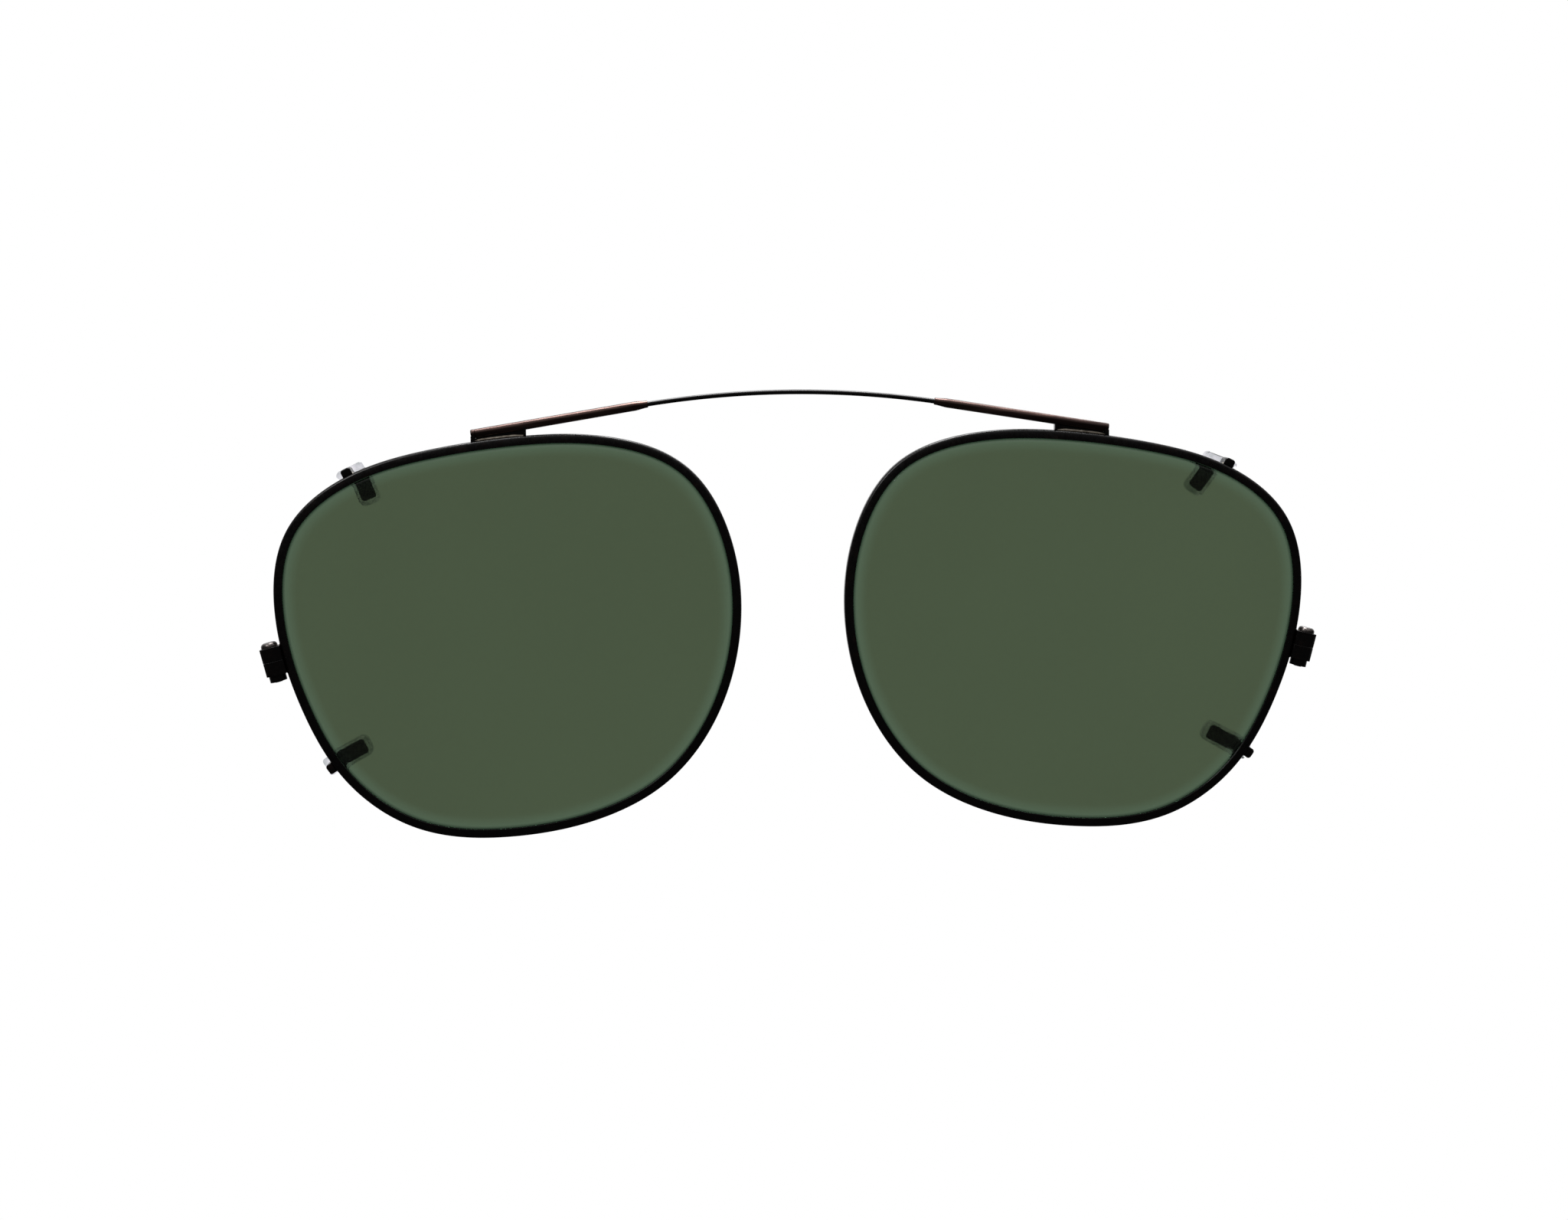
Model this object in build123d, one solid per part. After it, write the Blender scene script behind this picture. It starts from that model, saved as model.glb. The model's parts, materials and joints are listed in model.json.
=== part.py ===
from build123d import *
import os
from math import cos, radians, sin, sqrt, tan

# Clip on sunglasses for adult spectacles, in millimetres.
# X is to the right seen from the front, Y points back towards the wearer, Z is up.
# The origin is in the mirror plane, at the mid height of the lenses, in the plane of the rims' backs.
# Everything is drawn for the right side, and mirrored for the left.

# Rim and lens. RIM_OUTLINE is the rim's outer edge about the lens centre: the first number is towards
# the temple, the second is up, and a smooth closed curve runs through the points.
RIM_OUTLINE = [
    (-1.6, 22.7), (-11.0, 22.6), (-20.3, 19.1), (-25.4, 10.5),
    (-26.3, 0.9), (-23.8, -8.8), (-17.7, -16.9), (-9.2, -21.2),
    (0.0, -22.8), (10.7, -21.7), (18.7, -16.1), (23.3, -8.2),
    (26.1, 1.7), (24.7, 12.4), (18.0, 18.3), (8.5, 21.3),
]
LENS_SPACING = 64.5  # between the two lens centres
CURVE_RADIUS = 132.0  # rim and lens follow one sphere, a 4 base lens curve
BACK_REACH = 24.0  # at this distance from the lens centre the rim's back is at Y = 0
RIM_WIDTH = 1.02  # seen from the front
RIM_DEPTH = 1.3
RIM_ROUNDING = 0.28  # of its outer edges
RIM_SPLIT = 0.02  # the saw cut that the closing block draws together
GROOVE_DEPTH = 0.45
GROOVE_WIDTH = 0.54
LENS_THICKNESS = 1.1
LENS_GAP = 0.03  # between the lens's edge and the rim's inner face
TONGUE_REACH = 0.35  # the lens's edge tongue, into the groove
TONGUE_THICKNESS = 0.5

# Bridge: a spring wire, straight in the tubes and arched between them.
TUBE_TILT = 9.2  # degrees, down towards the temple
TUBE_POINT = (26.4, -1.0, 24.51)  # a point on the right tube's axis
TUBE_INNER_X = 16.2
TUBE_OUTER_X = 36.1
TUBE_DIAMETER = 1.05
TUBE_BORE = 0.85
NOSE_TIP_DIAMETER = 0.8
NOSE_BORE = 0.59
NOSE_LENGTH = 1.6  # the swaged taper at the tube's inner end
SPRING_SEAT = 1.2  # from the tube's inner end to the step that the spring pushes on
WIRE_DIAMETER = 0.55
WIRE_APEX = 27.36  # height of the wire's middle
COLLAR_DIAMETER = 0.81
COLLAR_LENGTH = 1.0
PLUG_CAP = 0.5
PLUG_LENGTH = 0.8  # the part of the plug inside the tube
SPRING_DIAMETER = 0.8
SPRING_WIRE = 0.1
SPRING_SIDES = 8  # its round wire is drawn with flats
SPRING_TURNS = 28
SPRING_END_GAP = 0.02

# Bracket under each tube.
BRACKET_INNER_X = 29.9
BRACKET_DEPTH = 1.0
BRACKET_WEB = 0.3
BRACKET_INNER_POST = 0.3
BRACKET_OUTER_POST = 0.5

# Closing block on the temple side, in two halves with a screw down through both.
BLOCK_AT = (25.4, -2.1)  # nearest point of the outline
BLOCK_WIDTH = 2.3  # outwards from the rim
BLOCK_DEPTH = 2.2
BLOCK_HALF_HEIGHT = 1.6
BLOCK_SPLIT = 0.02
BLOCK_CHAMFER = 0.35
BOSS_DIAMETER = 1.95
BOSS_HEIGHT = 0.75
SCREW_OFFSET = 1.2  # from the rim's outer edge to the screw's axis
SCREW_DIAMETER = 1.1
SCREW_CLEARANCE = 1.2  # hole in the upper half
SCREW_HEAD_DIAMETER = 1.9
SCREW_HEAD_HEIGHT = 0.55
SCREW_HEAD_ROUNDING = 0.42
SCREW_TIP = 0.1  # past the boss
SLOT_WIDTH = 0.28
SLOT_DEPTH = 0.22

# Claws, each bent by hand, so that no two are quite alike. The tab reaches in behind the lens, shifted
# along the rim from the foot and turned by some degrees in its plane. The sleeve's flap stands out past the
# rim by its tail, and reaches half its width to each side of the foot.
CLAW_AT = {"upper": (17.9, 18.9), "lower": (20.0, -14.5)}  # nearest points of the outline
CLAWS = {
    "left_upper": {"reach": 3.55, "shift": 0.7, "turn": -6, "tail": 0.85, "flap": 1.5},
    "left_lower": {"reach": 3.5, "shift": 0.0, "turn": -7, "tail": 2.05, "flap": 1.0},
    "right_upper": {"reach": 3.9, "shift": 0.6, "turn": 10, "tail": 0.85, "flap": 1.85},
    "right_lower": {"reach": 3.7, "shift": -0.05, "turn": -7, "tail": 2.0, "flap": 1.0},
}
FOOT_WIDTH = 1.2  # along the rim
FOOT_OUT = 0.85  # outwards from the rim
FOOT_ROUNDING = 0.35
FOOT_FRONT = -0.9
CRANK_FRONT = 0.5  # just behind the rim, where the claw steps inwards
CRANK_BACK = 1.3
ARM_INNER = -0.75  # the arm hides behind the rim
TAB_FRONT = 5.0
TAB_THICKNESS = 0.6
TAB_WIDTH = 1.75
TAB_TIP_RADIUS = 0.35
SLEEVE_WALL = 0.35
SLEEVE_TIP = 0.6  # past the tab's tip
SLEEVE_TAIL_RADIUS = 0.45
SLEEVE_NOTCH = -0.85  # from here outwards the sleeve's front wall is cut away for the arm
SLEEVE_TIP_RADIUS = 0.8

LENS_X = LENS_SPACING / 2
SPHERE_Y = sqrt((CURVE_RADIUS - RIM_DEPTH / 2) ** 2 - BACK_REACH**2)
THROUGH = 12.0  # half length of cuts that pass right through
INSET_POINTS = 48  # points of a curve drawn inside the outline
RIM_CURVE = Plane.XZ * Spline(*[(LENS_X + u, v) for u, v in RIM_OUTLINE], periodic=True)


def outwards(along):
    """The direction out of the rim, square to the direction along it."""
    return Vector(along.Z, 0, -along.X)


def outline_block(inset=0.0, back=THROUGH):
    """A bar along Y with the rim's outline, drawn inwards by inset, that ends at Y = back."""
    curve = RIM_CURVE
    if inset:
        places = [i / INSET_POINTS for i in range(INSET_POINTS)]
        curve = Spline(*[RIM_CURVE @ t - outwards(RIM_CURVE % t) * inset for t in places], periodic=True)
    return Pos(0, back, 0) * extrude(make_face(curve), back + THROUGH, dir=(0, -1, 0))


def dome(thickness):
    """A spherical shell of this thickness about the curve that rim and lens share."""
    shell = Sphere(CURVE_RADIUS + thickness / 2) - Sphere(CURVE_RADIUS - thickness / 2)
    return Pos(LENS_X, SPHERE_Y, 0) * shell


def rim_frame(at):
    """The frame on the rim's outer edge nearest to at: x outwards, y back, z along the rim."""
    spot = RIM_CURVE.closest_points(Vertex(LENS_X + at[0], 0, at[1]))[0]
    along = RIM_CURVE % RIM_CURVE.param_at_point(spot)
    return Plane(origin=spot, x_dir=outwards(along), z_dir=along)


def tube_frame():
    """The frame on the tube's axis at TUBE_POINT: z runs out to the temple."""
    tilt = radians(TUBE_TILT)
    return Plane(origin=TUBE_POINT, x_dir=(0, 1, 0), z_dir=(cos(tilt), 0, -sin(tilt)))


def along_tube(x):
    """The distance along the tube's axis from TUBE_POINT to the place with this X."""
    return (x - TUBE_POINT[0]) / cos(radians(TUBE_TILT))


TUBE_IN = along_tube(TUBE_INNER_X)
TUBE_OUT = along_tube(TUBE_OUTER_X)
PLUG_INNER = TUBE_OUT - PLUG_CAP - PLUG_LENGTH
COLLAR_INNER = PLUG_INNER - COLLAR_LENGTH


def rod(diameter, start, end):
    """A round bar on the tube's axis."""
    bar = Cylinder(diameter / 2, end - start, align=(Align.CENTER, Align.CENTER, Align.MIN))
    return tube_frame() * Pos(0, 0, start) * bar


def box_between(low, high):
    """A box from its lowest to its highest corner."""
    size = [b - a for a, b in zip(low, high)]
    return Pos(*low) * Box(*size, align=(Align.MIN, Align.MIN, Align.MIN))


def rim():
    """The eyewire: a grooved ring with rounded outer edges, sawn through at the closing block."""
    disc = outline_block() & dome(RIM_DEPTH)
    disc = fillet(disc.edges().sort_by(Edge.length)[-2:], RIM_ROUNDING)
    ring = disc - outline_block(RIM_WIDTH)
    groove = outline_block(RIM_WIDTH - GROOVE_DEPTH) & dome(GROOVE_WIDTH)
    cut = box_between((-THROUGH / 4, -THROUGH, -RIM_SPLIT / 2), (THROUGH / 4, THROUGH, RIM_SPLIT / 2))
    return ring - groove - rim_frame(BLOCK_AT) * cut


def lens():
    """The lens, with the tongue round its edge that the rim's groove holds."""
    inset = RIM_WIDTH + LENS_GAP
    body = outline_block(inset) & dome(LENS_THICKNESS)
    tongue = outline_block(inset - LENS_GAP - TONGUE_REACH) & dome(TONGUE_THICKNESS)
    return body + tongue


def bridge_tube():
    """The tube: a thin wall, swaged down to the wire at its inner end."""
    profile = Polyline(
        (NOSE_BORE / 2, TUBE_IN),
        (NOSE_TIP_DIAMETER / 2, TUBE_IN),
        (TUBE_DIAMETER / 2, TUBE_IN + NOSE_LENGTH),
        (TUBE_DIAMETER / 2, TUBE_OUT - PLUG_CAP),
        (TUBE_BORE / 2, TUBE_OUT - PLUG_CAP),
        (TUBE_BORE / 2, TUBE_IN + SPRING_SEAT),
        (NOSE_BORE / 2, TUBE_IN + SPRING_SEAT),
        close=True,
    )
    wall = revolve(Plane.XZ * make_face(profile), Axis.Z)
    return tube_frame() * wall


def tube_plug():
    """The plug: a cap on the tube's end and a stem inside it, which stops the wire's collar."""
    return rod(TUBE_DIAMETER, TUBE_OUT - PLUG_CAP, TUBE_OUT) + rod(TUBE_BORE, PLUG_INNER, TUBE_OUT - PLUG_CAP)


def wire_collar():
    """The collar fixed on the wire's end."""
    return rod(COLLAR_DIAMETER, COLLAR_INNER, PLUG_INNER) - rod(WIRE_DIAMETER, COLLAR_INNER, PLUG_INNER)


def spring():
    """The coil spring round the wire, between the tube's step and the collar."""
    start = TUBE_IN + SPRING_SEAT + SPRING_WIRE / 2 + SPRING_END_GAP
    height = COLLAR_INNER - SPRING_WIRE / 2 - SPRING_END_GAP - start
    coil = Helix(height / SPRING_TURNS, height, (SPRING_DIAMETER - SPRING_WIRE) / 2)
    section = Plane(origin=coil @ 0, z_dir=coil % 0) * RegularPolygon(SPRING_WIRE / 2, SPRING_SIDES)
    return tube_frame() * Pos(0, 0, start) * sweep(section, path=coil, is_frenet=True)


def bridge_wire():
    """The spring wire: straight in each tube, with one tangent arch between."""
    tilt = radians(TUBE_TILT)
    # The tube's axis meets the mirror plane at this height, and the arch is tangent to both axes.
    peak = TUBE_POINT[2] + TUBE_POINT[0] * tan(tilt)
    radius = (peak - WIRE_APEX) / (1 / cos(tilt) - 1)
    bend_x, bend_z = radius * sin(tilt), WIRE_APEX - radius * (1 - cos(tilt))
    end = tube_frame() * Pos(0, 0, PLUG_INNER)
    end_x, end_z = end.position.X, end.position.Z
    path = Plane(origin=(0, TUBE_POINT[1], 0), x_dir=(1, 0, 0), z_dir=(0, -1, 0)) * (
        Line((-end_x, end_z), (-bend_x, bend_z))
        + ThreePointArc((-bend_x, bend_z), (0, WIRE_APEX), (bend_x, bend_z))
        + Line((bend_x, bend_z), (end_x, end_z))
    )
    section = Plane(origin=path @ 0, z_dir=path % 0) * Circle(WIRE_DIAMETER / 2)
    return sweep(section, path=path)


def tube_bracket():
    """The bracket between tube and rim: two posts joined by a thin web, fitted to both."""
    low_z, high_z = TUBE_POINT[2] - 4, TUBE_POINT[2]
    middle_y = TUBE_POINT[1]

    def slab(x_start, x_end, thickness):
        half = thickness / 2
        return box_between((x_start, middle_y - half, low_z), (x_end, middle_y + half, high_z))

    posts = slab(BRACKET_INNER_X, BRACKET_INNER_X + BRACKET_INNER_POST, BRACKET_DEPTH)
    posts += slab(TUBE_OUTER_X - BRACKET_OUTER_POST, TUBE_OUTER_X, BRACKET_DEPTH)
    body = posts + slab(BRACKET_INNER_X, TUBE_OUTER_X, BRACKET_WEB)
    # Only what lies under the tube's axis and outside the rim is left.
    above = tube_frame() * box_between((-THROUGH, 0, -THROUGH * 2), (THROUGH, THROUGH, THROUGH * 2))
    return body - above - rod(TUBE_DIAMETER, TUBE_IN, TUBE_OUT + PLUG_CAP) - outline_block()


def block_frame():
    """The closing block's frame, at the middle of the rim's depth."""
    frame = rim_frame(BLOCK_AT)
    reach = (frame.origin - Vector(LENS_X, 0, 0)).length
    middle_y = SPHERE_Y - sqrt(CURVE_RADIUS**2 - reach**2)
    return frame * Pos(0, middle_y, 0)


def screw_bar(diameter, start, end):
    """A round bar on the screw's axis, in the closing block's frame."""
    bar = Cylinder(diameter / 2, end - start, align=(Align.CENTER, Align.CENTER, Align.MIN))
    return Pos(SCREW_OFFSET, 0, start) * bar


def half_block(start, end):
    """One half of the closing block, with its outer upright edges chamfered."""
    block = box_between((-BLOCK_WIDTH / 4, -BLOCK_DEPTH / 2, start), (BLOCK_WIDTH, BLOCK_DEPTH / 2, end))
    return chamfer(block.edges().filter_by(Axis.Z).group_by(Axis.X)[-1], BLOCK_CHAMFER)


def upper_block():
    """The closing block's upper half, which the screw passes through."""
    block = half_block(BLOCK_SPLIT / 2, BLOCK_HALF_HEIGHT) - screw_bar(SCREW_CLEARANCE, 0, THROUGH)
    return block_frame() * block - outline_block()


def lower_block():
    """The closing block's lower half, with the threaded boss under it."""
    block = half_block(-BLOCK_HALF_HEIGHT, -BLOCK_SPLIT / 2)
    block += screw_bar(BOSS_DIAMETER, -BLOCK_HALF_HEIGHT - BOSS_HEIGHT, -BLOCK_HALF_HEIGHT)
    return block_frame() * (block - screw_bar(SCREW_DIAMETER, -THROUGH, 0)) - outline_block()


def block_screw():
    """The closing screw: a domed, slotted head on a plain shank."""
    shank = screw_bar(SCREW_DIAMETER, -BLOCK_HALF_HEIGHT - BOSS_HEIGHT - SCREW_TIP, BLOCK_HALF_HEIGHT)
    head = screw_bar(SCREW_HEAD_DIAMETER, BLOCK_HALF_HEIGHT, BLOCK_HALF_HEIGHT + SCREW_HEAD_HEIGHT)
    head = fillet(head.edges().group_by(Axis.Z)[-1], SCREW_HEAD_ROUNDING)
    slot_floor = BLOCK_HALF_HEIGHT + SCREW_HEAD_HEIGHT - SLOT_DEPTH
    slot = box_between((-THROUGH, -SLOT_WIDTH / 2, slot_floor), (THROUGH, SLOT_WIDTH / 2, THROUGH))
    return block_frame() * (shank + (head - slot))


def tab_bar(claw, grow, tail, tip_radius):
    """A flat bar along a claw's tab, out to x = tail, grown all round, with its inner tip rounded."""
    half = TAB_WIDTH / 2 + grow
    high = (tail, TAB_FRONT + TAB_THICKNESS + grow, half)
    bar = box_between((-claw["reach"], TAB_FRONT - grow, -half), high)
    bar = fillet(bar.edges().filter_by(Axis.Y).group_by(Axis.X)[0], tip_radius)
    return Pos(0, 0, claw["shift"]) * Rot(0, claw["turn"], 0) * bar


def claw(side, kind):
    """A bent metal claw: a foot on the rim's outer edge, a step in behind the rim, an arm that leans
    back towards its tab, and the tab, turned inwards."""
    bent = CLAWS[f"{side}_{kind}"]
    half, foot, shift = TAB_WIDTH / 2, FOOT_WIDTH / 2, bent["shift"]
    outline = Polyline(
        (CRANK_FRONT, -foot), (CRANK_BACK, -foot), (TAB_FRONT, shift - half),
        (TAB_FRONT, shift + half), (CRANK_BACK, foot), (CRANK_FRONT, foot), close=True,
    )
    arm_plane = Plane(origin=(ARM_INNER, 0, 0), x_dir=(0, 1, 0), z_dir=(1, 0, 0))
    shape = extrude(arm_plane * make_face(outline), -ARM_INNER)
    lug = box_between((ARM_INNER, FOOT_FRONT, -foot), (FOOT_OUT, CRANK_BACK, foot))
    shape += fillet(lug.edges().filter_by(Axis.Y).group_by(Axis.X)[-1], FOOT_ROUNDING)
    shape += tab_bar(bent, 0.0, 0.0, TAB_TIP_RADIUS)
    return rim_frame(CLAW_AT[kind]) * shape - outline_block(back=CRANK_FRONT)


def claw_sleeve(side, kind):
    """The soft sleeve: a flat tube drawn over the tab from its tip, with a wider flap that stands out
    past the arm, and notched in front so that the arm can pass."""
    bent = CLAWS[f"{side}_{kind}"]
    flap = box_between(
        (SLEEVE_NOTCH, TAB_FRONT, -bent["flap"]),
        (bent["tail"], TAB_FRONT + TAB_THICKNESS + SLEEVE_WALL, bent["flap"]),
    )
    around = {**bent, "reach": bent["reach"] + SLEEVE_TIP}
    skin = tab_bar(around, SLEEVE_WALL, 0.0, SLEEVE_TIP_RADIUS)
    skin += fillet(flap.edges().filter_by(Axis.Y).group_by(Axis.X)[-1], SLEEVE_TAIL_RADIUS)
    skin -= tab_bar(bent, 0.0, THROUGH, TAB_TIP_RADIUS)
    skin -= box_between((SLEEVE_NOTCH, -THROUGH, -THROUGH), (THROUGH, TAB_FRONT, THROUGH))
    return rim_frame(CLAW_AT[kind]) * skin


def side_parts(side):
    """Every node of one side, as drawn for the right."""
    parts = {
        "rim": rim(),
        "lens": lens(),
        "bridge_tube": bridge_tube(),
        "tube_plug": tube_plug(),
        "tube_bracket": tube_bracket(),
        "wire_collar": wire_collar(),
        "spring": spring(),
        "upper_block": upper_block(),
        "lower_block": lower_block(),
        "block_screw": block_screw(),
    }
    for kind in CLAW_AT:
        parts[kind + "_claw"] = claw(side, kind)
        parts[kind + "_claw_sleeve"] = claw_sleeve(side, kind)
    return parts


def main():
    os.makedirs("parts", exist_ok=True)
    export_step(bridge_wire(), "parts/bridge_wire.step")
    for side in ("left", "right"):
        for name, shape in side_parts(side).items():
            if side == "left":
                shape = mirror(shape, about=Plane.YZ)
            export_step(shape, f"parts/{side}_{name}.step")


main()
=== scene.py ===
"""The looks of the clip on sunglasses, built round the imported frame.

Lengths are in millimetres, in the frame's own axes, until a mesh is finished in metres. What is drawn for
the right side is mirrored for the left.
"""

import json
from math import cos, pi, radians, sin, sqrt, tan, tau

import bmesh
import bpy
import numpy as np
from mathutils import Matrix, Vector


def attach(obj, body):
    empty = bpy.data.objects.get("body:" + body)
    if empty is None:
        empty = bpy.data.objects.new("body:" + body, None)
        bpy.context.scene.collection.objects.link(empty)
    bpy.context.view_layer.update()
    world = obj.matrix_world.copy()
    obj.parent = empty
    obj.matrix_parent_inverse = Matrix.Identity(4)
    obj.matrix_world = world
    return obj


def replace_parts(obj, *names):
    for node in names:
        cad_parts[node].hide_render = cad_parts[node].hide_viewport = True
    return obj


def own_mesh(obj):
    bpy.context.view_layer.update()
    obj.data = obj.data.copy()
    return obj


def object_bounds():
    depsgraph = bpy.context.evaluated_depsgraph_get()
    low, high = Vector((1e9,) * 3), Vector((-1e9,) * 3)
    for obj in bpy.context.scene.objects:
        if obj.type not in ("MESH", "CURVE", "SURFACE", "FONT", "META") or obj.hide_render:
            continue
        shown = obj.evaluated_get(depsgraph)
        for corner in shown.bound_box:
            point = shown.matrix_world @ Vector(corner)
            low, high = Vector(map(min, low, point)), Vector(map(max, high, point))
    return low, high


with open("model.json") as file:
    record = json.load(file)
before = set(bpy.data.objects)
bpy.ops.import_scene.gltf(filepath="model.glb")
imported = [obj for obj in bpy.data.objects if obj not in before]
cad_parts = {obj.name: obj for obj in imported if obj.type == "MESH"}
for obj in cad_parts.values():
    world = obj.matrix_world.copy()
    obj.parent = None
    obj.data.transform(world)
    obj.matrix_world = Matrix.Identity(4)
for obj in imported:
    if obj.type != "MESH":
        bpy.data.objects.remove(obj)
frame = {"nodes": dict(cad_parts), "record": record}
cad_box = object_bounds()

MM = 0.001
SIDES = ("left", "right")

# Rim and lens. The outline is the rim's outer edge about the lens centre: towards the temple, and up.
RIM_OUTLINE = [
    (-1.6, 22.7), (-11.0, 22.6), (-20.3, 19.1), (-25.4, 10.5),
    (-26.3, 0.9), (-23.8, -8.8), (-17.7, -16.9), (-9.2, -21.2),
    (0.0, -22.8), (10.7, -21.7), (18.7, -16.1), (23.3, -8.2),
    (26.1, 1.7), (24.7, 12.4), (18.0, 18.3), (8.5, 21.3),
]
LENS_X = 32.25
CURVE_RADIUS = 132.0
BACK_REACH = 24.0
RIM_WIDTH = 1.02
RIM_DEPTH = 1.3
RIM_ROUNDING = 0.28
RIM_INNER_ROUNDING = 0.07
RIM_SPLIT = 0.02
GROOVE_DEPTH = 0.45
GROOVE_WIDTH = 0.54
RIM_STEPS = 520  # sections round the rim
BLOCK_AT = (25.4, -2.1)  # the place on the outline of the rim's split and its closing block
LENS_THICKNESS = 1.1
LENS_GAP = 0.03
TONGUE_REACH = 0.35
TONGUE_THICKNESS = 0.5
LENS_BEVEL = 0.32  # width of the polished bevel just inside the rim
BEVEL_DROP = 0.12  # how far that bevel falls back
LENS_RINGS = 26
LENS_STEPS = 260
# The lens's paler border is a painted highlight in the glass's colour.
EDGE_FADE = 1.5  # how far the lens's paler border reaches inwards
# The dark line beside the rim is painted shade in the glass's colour.
EDGE_SHADE = 0.35  # how far the dark line beside the rim reaches inwards

# Bridge.
TUBE_TILT = radians(9.2)
TUBE_POINT = Vector((26.4, -1.0, 24.51))
TUBE_INNER_X = 16.2
TUBE_OUTER_X = 36.1
TUBE_RADIUS = 0.525
TUBE_BORE = 0.425  # radius
NOSE_TIP = 0.4  # radius
NOSE_BORE = 0.295  # radius
NOSE_LENGTH = 1.6
SPRING_SEAT = 1.2
WIRE_RADIUS = 0.275
WIRE_APEX = 27.36
ARCH_STEPS = 120  # sections of the wire's arch
STRAIGHT_STEPS = 24  # and of each straight shank
PLUG_CAP = 0.5
PLUG_LENGTH = 0.8
PLUG_ROUNDING = 0.16
COLLAR_LENGTH = 1.0
SPRING_RADIUS = 0.35  # of the coil's middle line
SPRING_WIRE = 0.05  # radius
SPRING_TURNS = 28
SPRING_TURN_STEPS = 22
SPRING_SIDES = 10
SPRING_END_GAP = 0.02
EDGE_BREAK = 0.04  # the rounding of turned edges
ROUND_STEPS = 40  # sides of a turned part

# Closing screw, in the block's own frame.
SCREW_OFFSET = 1.2
SCREW_RADIUS = 0.55
BLOCK_HALF_HEIGHT = 1.6
BOSS_HEIGHT = 0.75
SCREW_TIP = 0.1
HEAD_RADIUS = 0.95
HEAD_HEIGHT = 0.55
HEAD_ROUNDING = 0.42
SLOT_WIDTH = 0.28
SLOT_DEPTH = 0.22
THREAD_CRESTS = 22  # crests and roots together
THREAD_DEPTH = 0.05
SCREW_CHAMFER = 0.1
SCREW_NARROWING = 0.12  # of its radius, at the end
HEAD_BREAK = 0.03

# Solder.
BRACKET_INNER_X = 29.9
BRACKET_WEB = 0.3
BRACKET_BEAD = 0.24
BLOCK_BEAD = 0.26
CLAW_AT = {"upper": (17.9, 18.9), "lower": (20.0, -14.5)}
CLAW_FOOT = 0.6  # half its width along the rim
CLAW_BEAD = 0.16
SOLDER_DEPTH = 0.36  # beads run this far before and behind the middle of the rim's depth
SOLDER_ROOT = 0.02

# The sleeves' soft flaps, outside the rim: how far each is drawn out along the rim, away from the bridge and
# towards it, and how much further it stands out, at the foot and for each mm towards the bridge.
FLAPS = {
    "left_upper": (1.3, 0.9, 0.05, 0.0),
    "left_lower": (1.1, 1.0, 0.0, 0.0),
    "right_upper": (1.2, 1.0, 0.12, -0.08),
    "right_lower": (1.1, 1.0, 0.0, 0.0),
}
FLAP_WAVE = 0.05  # the unevenness of their edges

# The rounding of a CAD piece's edges: its width and its segments. Beside an inner corner there is no room
# for a rounding on an edge shorter than SHORT_EDGE.
SHORT_EDGE = 1.0
ROUNDINGS = {
    "tube_bracket": (0.04, 3),
    "wire_collar": (0.03, 2),
    "block": (0.04, 3),
    "claw": (0.12, 3),
    "claw_sleeve": (0.1, 3),
}

BACK = Vector((0, 1, 0))
SPHERE_Y = sqrt((CURVE_RADIUS - RIM_DEPTH / 2) ** 2 - BACK_REACH**2)
TUBE_AXIS = Vector((cos(TUBE_TILT), 0, -sin(TUBE_TILT)))
TUBE_ACROSS = Vector((sin(TUBE_TILT), 0, cos(TUBE_TILT)))
TUBE_IN = (TUBE_INNER_X - TUBE_POINT.x) / cos(TUBE_TILT)
TUBE_OUT = (TUBE_OUTER_X - TUBE_POINT.x) / cos(TUBE_TILT)
PLUG_INNER = TUBE_OUT - PLUG_CAP - PLUG_LENGTH
COLLAR_INNER = PLUG_INNER - COLLAR_LENGTH
TURNS = [tau * i / ROUND_STEPS for i in range(ROUND_STEPS)]

BODY_OF = {node: body for body, nodes in frame["record"]["behaviour"]["bodies"].items() for node in nodes}


# Meshes


def ring_mesh(rings, closed=False, poles=False, bm=None):
    """Joins equal rings of points, in a new bmesh or into a given one. The last ring runs on into the
    first if closed. Otherwise each end gets a flat cap, or a fan about a middle point if poles."""
    bm = bm or bmesh.new()
    rows = [[bm.verts.new(point) for point in ring] for ring in rings]
    pairs = list(zip(rows, rows[1:]))
    if closed:
        pairs.append((rows[-1], rows[0]))
    count = len(rows[0])
    for one, other in pairs:
        for i in range(count):
            j = (i + 1) % count
            bm.faces.new((one[i], one[j], other[j], other[i]))
    if closed:
        return bm
    for row in (rows[0], rows[-1]):
        if not poles:
            bm.faces.new(row)
            continue
        middle = bm.verts.new(sum((vert.co for vert in row), Vector()) / count)
        for i in range(count):
            bm.faces.new((row[i], row[(i + 1) % count], middle))
    return bm


def finished_mesh(bm, name, mirrored=False, crease=34):
    """Turns a bmesh in millimetres into a mesh in metres, smooth but for edges sharper than crease."""
    bmesh.ops.scale(bm, vec=(-MM if mirrored else MM, MM, MM), verts=bm.verts)
    bmesh.ops.recalc_face_normals(bm, faces=bm.faces)
    for face in bm.faces:
        face.smooth = True
    for edge in bm.edges:
        edge.smooth = edge.calc_face_angle(0.0) < radians(crease)
    mesh = bpy.data.meshes.new(name)
    bm.to_mesh(mesh)
    bm.free()
    return mesh


def add(name, bm, material, body, mirrored=False, crease=34):
    """Shows a new piece on a body."""
    thing = bpy.data.objects.new(name, finished_mesh(bm, name, mirrored, crease))
    bpy.context.scene.collection.objects.link(thing)
    thing.data.materials.append(material)
    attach(thing, body)
    return thing


def put(node, bm, material, mirrored=False, crease=34):
    """Shows a new piece in place of a CAD node, on that node's body."""
    thing = add(node + "_fine", bm, material, BODY_OF[node], mirrored, crease)
    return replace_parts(thing, node)


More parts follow.
